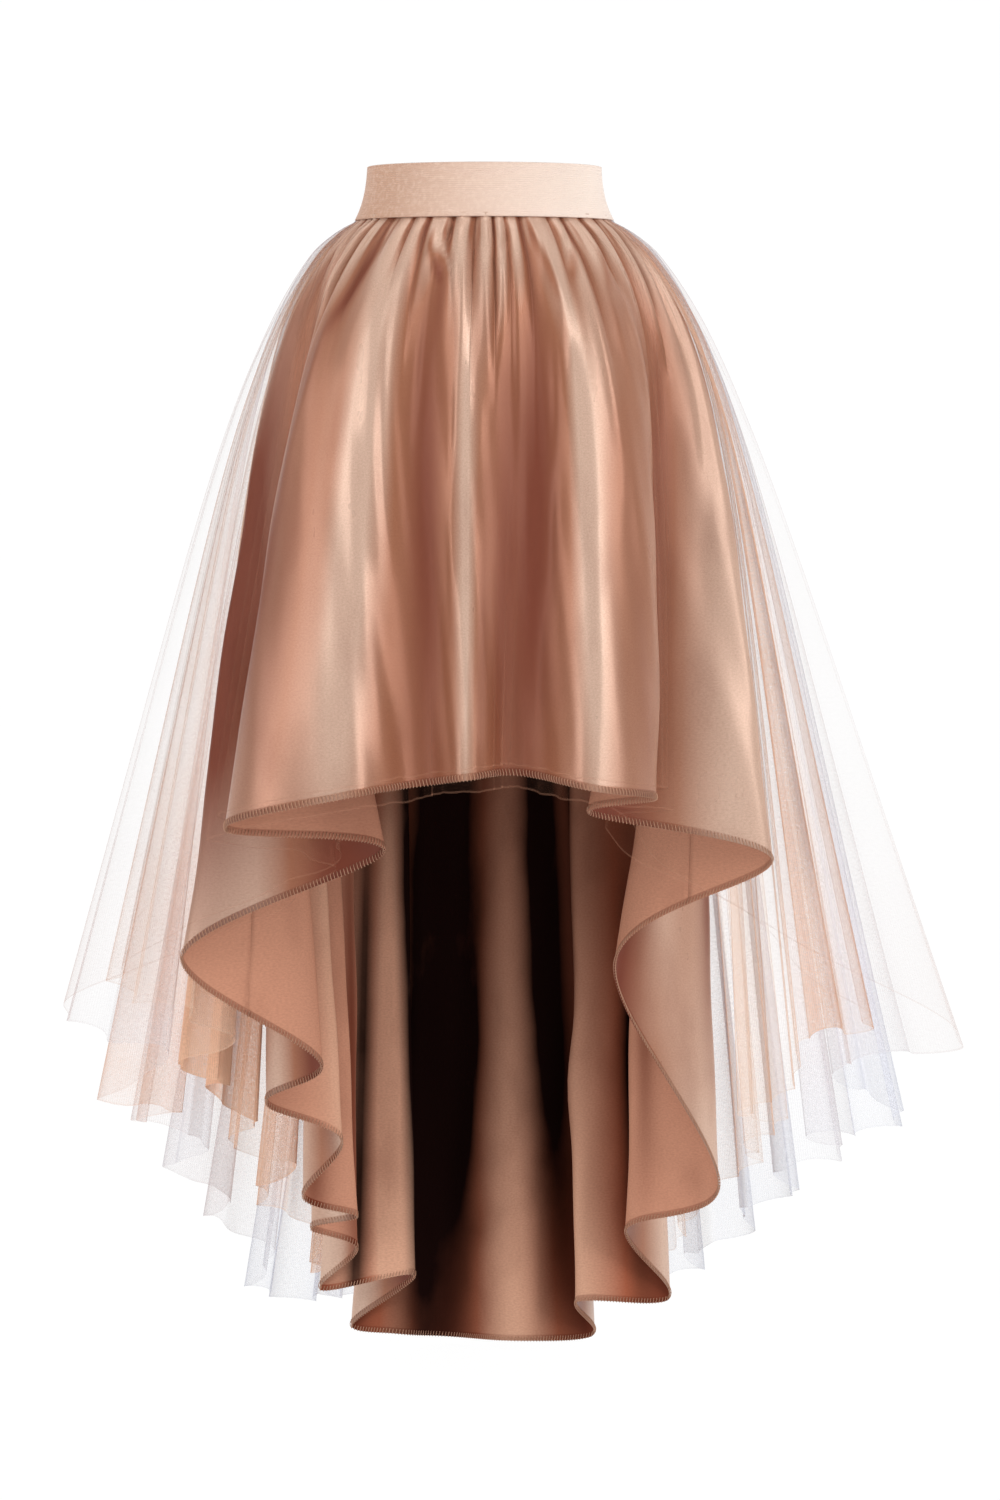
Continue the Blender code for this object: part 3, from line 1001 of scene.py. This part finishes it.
def outer_density(turn, depth):
    """Closer under the waist, where the net is gathered, and low down, where it doubles."""
    gathered = np.exp(-depth / CLOSE_UNDER_WAIST)
    low = 0.9 * ease((depth - CLOSER_FROM) / CLOSER_OVER)
    return 0.7 + gathered + low + 0.25 * uneven(turn, (11, 30, 1.0), (27, 80, 0.8))


TULLE_PANELS = (("front", -90.0, 90.0), ("back", 90.0, 270.0))

for side, first_turn, last_turn in TULLE_PANELS:
    outer = tulle_panel(
        "outer_tulle_" + side,
        first_turn,
        last_turn,
        outer_place,
        lambda turn: hem_waver(turn, outer_length(turn), 0.0),
        OUTER_TUCK,
        outer_density,
    )
    outer.data.materials.append(WHITE_TULLE)
    outer.visible_shadow = False
    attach(outer, "root")
    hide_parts("tulle_outer_" + side)

# The inner tulle: two gathered panels of blush net between the satin and the
# outer net, a little shorter. Where it bunches, it turns from cream to salmon.
INNER_GAP_SEAM = 0.0020
INNER_GAP = 0.0050
INNER_SHARE = 0.62
INNER_PARTED = 0.150
INNER_SHORTER_FRONT = 0.020
INNER_SHORTER_SIDES = 0.030
INNER_TUCK = 0.0042
INNER_PHASE = 140.0
THINNER_RIGHT = 0.24

# Where the net bunches up: the turn, how wide in degrees and how much closer
Bunch = namedtuple("Bunch", "turn width closer")
INNER_BUNCHES = (
    Bunch(278, 2.4, 3.4),
    Bunch(284, 1.4, 2.6),
    Bunch(262, 1.4, 0.9),
    Bunch(247, 1.8, 0.6),
    Bunch(231, 1.4, 0.9),
    Bunch(112, 16.0, 1.5),
    Bunch(88, 5.0, -0.4),
    Bunch(103, 2.4, 2.2),
    Bunch(112, 3.4, 3.0),
    Bunch(123, 2.4, 2.2),
    Bunch(139, 2.2, 1.4),
    Bunch(158, 2.0, 1.5),
    Bunch(187, 2.4, 1.8),
    Bunch(209, 1.8, 1.3),
)


def inner_folded(turn, depth):
    """The inner tulle: close inside the outer one in front, between it and the satin elsewhere."""
    distance = INNER_GAP_SEAM + (INNER_GAP - INNER_GAP_SEAM) * ease(depth / LIFT_DEPTH)
    close = moved_out(outer_folded, turn, depth, -distance)
    between = satin_folded(turn, depth) * (1.0 - INNER_SHARE)
    between = between + outer_folded(turn, depth) * INNER_SHARE
    return close + (between - close) * side_share(turn) * ease(depth / INNER_PARTED)


def inner_length(turn):
    """From the seam to the inner tulle's hem, without its ripples."""
    shorter = INNER_SHORTER_FRONT + side_share(turn) * (INNER_SHORTER_SIDES - INNER_SHORTER_FRONT)
    return outer_length(turn) - shorter


def inner_place(turn, depth):
    """The inner tulle with its ripples."""
    return rippled(inner_folded, turn, depth, inner_length(turn), INNER_PHASE)


def inner_density(turn, depth):
    """Closer under the waist and along the bunches, thinner on the right."""
    gathered = np.exp(-depth / CLOSE_UNDER_WAIST)
    closer = 1.0 + gathered + 0.3 * uneven(turn, (9, 200, 1.0), (31, 20, 0.8))
    for bunch in INNER_BUNCHES:
        across = ((turn - bunch.turn + 180.0) % 360.0 - 180.0) / bunch.width
        closer = closer + bunch.closer * np.exp(-(across**2))
    return closer * (1.0 - THINNER_RIGHT * (1.0 - np.sin(np.radians(turn))) * side_share(turn))


BLUSH_TULLE = tulle_material(
    "blush_tulle", thin=(0.86, 0.70, 0.57, 1.0), dense=(0.68, 0.40, 0.27, 1.0), cover=0.25
)

for side, first_turn, last_turn in TULLE_PANELS:
    inner = tulle_panel(
        "inner_tulle_" + side,
        first_turn,
        last_turn,
        inner_place,
        lambda turn: hem_waver(turn, inner_length(turn), INNER_PHASE),
        INNER_TUCK,
        inner_density,
    )
    inner.data.materials.append(BLUSH_TULLE)
    inner.visible_shadow = False
    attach(inner, "root")
    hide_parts("tulle_inner_" + side)

# The waistband: knitted elastic 50 mm wide, ribbed along its length, peach. Its
# ends are lapped and zigzagged together at the centre back.
BAND_HEIGHT = 0.050
BAND_THICK = 0.0022
BAND_COLUMNS = 360
BAND_ROWS = 26
BandRing = namedtuple("BandRing", "share_down half_width half_depth")
BAND_RINGS = (
    BandRing(0.00, 0.1080, 0.0890),
    BandRing(0.30, 0.1090, 0.0898),
    BandRing(0.62, 0.1121, 0.0924),
    BandRing(1.00, 0.1200, 0.0990),
)
RIBS = 26
RIB_RADIUS = 0.00062
RIM_ROUNDING = 0.0011
# The band's colour from left to right: painted shade on the left, painted light on the right
BAND_PAINTED_SHADE_LEFT = (0.56, 0.32, 0.21, 1.0)
BAND_PAINTED_LIGHT_RIGHT = (0.90, 0.76, 0.67, 1.0)
BAND_KNIT = (0.92, 0.74, 0.62, 1.0)
BAND_FLECKS = (0.55, 0.27, 0.18, 1.0)
BAND_KNITTED = 260.0
BAND_FLECKED = 700.0
BAND_RELIEF = 0.0002


def band_place(turn, down):
    """The band's middle at a share of its height down."""
    shares = [ring.share_down for ring in BAND_RINGS]
    fit_x = np.polyfit(shares, [ring.half_width for ring in BAND_RINGS], 3)
    fit_y = np.polyfit(shares, [ring.half_depth for ring in BAND_RINGS], 3)
    wave = uneven(turn, (5, 40, 0.25), (12, 100, 0.18)) * MM * np.sin(down * 3.0)
    x = -(np.polyval(fit_x, down) + wave) * np.sin(np.radians(turn))
    y = -(np.polyval(fit_y, down) + wave) * np.cos(np.radians(turn))
    return np.stack((x, y, -BAND_HEIGHT * down + 0.0 * x), axis=-1)


elastic = Shades("elastic")
where = elastic.node("TexCoord", {}, {}).out("Object")
height = elastic.part_of(where, "Z")
lines = (height * (math.tau * RIBS * 2 / BAND_HEIGHT)).sine()
flecks = elastic.noise(where, BAND_FLECKED, 3.0)
knit = elastic.noise(where, BAND_KNITTED)
# Painted light: the band is shaded darker on the left and lit paler on the right
to_right = 0.5 + elastic.part_of(where, "X") * 5.0
painted_side_light = elastic.mixed(to_right, BAND_PAINTED_SHADE_LEFT, BAND_PAINTED_LIGHT_RIGHT)
band_colour = elastic.mixed((knit - 0.45) * 0.9, painted_side_light, BAND_KNIT)
band_colour = elastic.mixed((flecks - 0.55) * 0.9, band_colour, BAND_FLECKS)
ELASTIC = elastic.finish(
    Base_Color=band_colour,
    Roughness=0.72,
    Normal=elastic.bump(lines * 0.25 + flecks * 0.6, BAND_RELIEF),
    Sheen_Weight=0.25,
)

turns = np.linspace(0.0, 360.0, BAND_COLUMNS, endpoint=False)[:, None]
downs = np.linspace(0.0, 1.0, BAND_ROWS)
from_rim = np.minimum(downs, 1.0 - downs) * BAND_HEIGHT / RIM_ROUNDING
rim = np.sqrt(1.0 - (1.0 - np.minimum(from_rim, 1.0)) ** 2)
middle = band_place(turns, downs[None, :])
out = middle[..., :2] / np.linalg.norm(middle[..., :2], axis=-1, keepdims=True)
out = np.concatenate((out, np.zeros_like(out[..., :1])), axis=-1)
half = (BAND_THICK / 2) * rim[None, :, None]
outside = middle + out * half
inside = (middle - out * half)[:, ::-1]
ring_points = np.concatenate((outside, inside[:, 1:-1]), axis=1)
columns, rows = ring_points.shape[:2]
index = np.arange(columns * rows).reshape(columns, rows)
right = np.roll(index, -1, axis=0)
corners = (index, right, np.roll(right, -1, axis=1), np.roll(index, -1, axis=1))
quads = np.stack(corners, axis=-1).reshape(-1, 4)
mesh = bpy.data.meshes.new("waistband_elastic")
mesh.from_pydata(ring_points.reshape(-1, 3).tolist(), [], quads.tolist())
mesh.shade_smooth()
band = bpy.data.objects.new("waistband_elastic", mesh)
bpy.context.scene.collection.objects.link(band)
band.data.materials.append(ELASTIC)

# The band's ribs and its back seam: rubber cores under the knit stand out as
# fine level cords, and a zigzag of thread joins the lapped ends
cords = Tree(
    "cords", {"Radius": "NodeSocketFloat", "Sides": "NodeSocketInt", "Material": "NodeSocketMaterial"}
)
entry = cords.start.outputs
line = cords.node("GeometryNodeMeshToCurve", {}, {"Mesh": entry["Geometry"]})
section = cords.node(
    "GeometryNodeCurvePrimitiveCircle", {}, {"Resolution": entry["Sides"], "Radius": entry["Radius"]}
)
solid = cords.node(
    "GeometryNodeCurveToMesh", {}, {"Curve": line["Curve"], "Profile Curve": section["Curve"]}
)
real = cords.node("GeometryNodeRealizeInstances", {}, {"Geometry": solid["Mesh"]})
smooth = cords.node("GeometryNodeSetShadeSmooth", {}, {"Geometry": real["Geometry"]})
coloured = cords.node(
    "GeometryNodeSetMaterial", {}, {"Geometry": smooth["Geometry"], "Material": entry["Material"]}
)
cords.tree.links.new(coloured["Geometry"], cords.end.inputs["Geometry"])

rib_turns = np.linspace(0.0, 360.0, 240, endpoint=False)
rib_lines = []
for rib in range(RIBS):
    down = (rib + 0.5) / RIBS
    centre = band_place(rib_turns, down)
    out = centre[:, :2] / np.linalg.norm(centre[:, :2], axis=-1, keepdims=True)
    centre[:, :2] += out * (BAND_THICK / 2 - RIB_RADIUS * 0.55)
    rib_lines.append(centre)
path = add_path("waistband_ribs", rib_lines, True)
ribs = cords.applied(path, {"Radius": RIB_RADIUS, "Sides": 6, "Material": ELASTIC})

ZIGZAGS = 44
ZIGZAG_WIDTH = 0.0045
steps = np.arange(ZIGZAGS + 1)
downs = 0.02 + 0.96 * steps / ZIGZAGS
turns = 180.0 + np.degrees((steps % 2 - 0.5) * ZIGZAG_WIDTH / BAND_RINGS[0].half_depth)
zigzag = band_place(turns, downs)
zigzag[:, 1] += BAND_THICK / 2 + RIB_RADIUS * 0.45
path = add_path("waistband_back_stitching", [zigzag], False)
back_stitching = cords.applied(path, {"Radius": THREAD_RADIUS * 0.9, "Sides": 5, "Material": THREAD})

for piece in (band, ribs, back_stitching):
    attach(piece, "root")
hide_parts("waistband")

# The studio: a pale seamless ground that glows evenly, as paper lit from behind
# does, with a tall soft box on either side and one overhead
GROUND_DROP = 1.186
GROUND_HALF = 24.0
GROUND_FRONT = 40.0
GROUND_BACK = 3.5
GROUND_ROUND = 2.0
GROUND_TOP = 9.0
GROUND_GLOW = 0.975
AIR_GLOW = 0.30

profile = [(-GROUND_FRONT, -GROUND_DROP), (GROUND_BACK, -GROUND_DROP)]
for step in range(1, 17):
    swing = step / 16 * math.pi / 2
    y = GROUND_BACK + GROUND_ROUND * math.sin(swing)
    z = -GROUND_DROP + GROUND_ROUND * (1.0 - math.cos(swing))
    profile.append((y, z))
profile.append((GROUND_BACK + GROUND_ROUND, GROUND_TOP))
points = [(x, y, z) for y, z in profile for x in (-GROUND_HALF, GROUND_HALF)]
faces = [(2 * k, 2 * k + 1, 2 * k + 3, 2 * k + 2) for k in range(len(profile) - 1)]
mesh = bpy.data.meshes.new("studio_ground")
mesh.from_pydata(points, [], faces)
mesh.shade_smooth()
ground = bpy.data.objects.new("studio_ground", mesh)
bpy.context.scene.collection.objects.link(ground)
pale = Shades("studio_paper").finish(
    Base_Color=(0.05, 0.05, 0.05, 1.0),
    Roughness=1.0,
    Specular_IOR_Level=0.0,
    Emission_Color=(1.0, 1.0, 1.0, 1.0),
    Emission_Strength=GROUND_GLOW,
)
mesh.materials.append(pale)

SoftBox = namedtuple("SoftBox", "name place size height power")
AIM = Vector((0.0, 0.0, -0.55))
for box in (
    SoftBox("soft_box_left", (-2.8, -2.2, 0.9), 0.8, 2.6, 56.0),
    SoftBox("soft_box_right", (2.8, -2.4, 0.9), 0.7, 2.4, 70.0),
    SoftBox("soft_box_over", (0.0, -0.6, 2.6), 2.4, 1.6, 24.0),
):
    lamp = bpy.data.lights.new(box.name, "AREA")
    lamp.shape = "RECTANGLE"
    lamp.size = box.size
    lamp.size_y = box.height
    lamp.energy = box.power
    holder = bpy.data.objects.new(box.name, lamp)
    holder.location = box.place
    holder.rotation_euler = (AIM - holder.location).to_track_quat("-Z", "Y").to_euler()
    bpy.context.scene.collection.objects.link(holder)

world = bpy.data.worlds.new("studio_air")
world.use_nodes = True
air = world.node_tree.nodes["Background"].inputs
air["Color"].default_value = (1.0, 1.0, 1.0, 1.0)
air["Strength"].default_value = AIR_GLOW
bpy.context.scene.world = world
bpy.context.scene.view_settings.view_transform = "Standard"
bpy.context.scene.cycles.transparent_max_bounces = 64

# The camera: a long lens four metres away, looking a little down
CAMERA_LENS = 102.24
CAMERA_PLACE = (0.0145, -4.0, -0.224)
CAMERA_DOWN = 4.587

camera_data = bpy.data.cameras.new("camera")
camera_data.lens = CAMERA_LENS
camera = bpy.data.objects.new("camera", camera_data)
camera.location = CAMERA_PLACE
camera.rotation_euler = (math.radians(90.0 - CAMERA_DOWN), 0.0, 0.0)
bpy.context.scene.collection.objects.link(camera)
bpy.context.scene.camera = camera
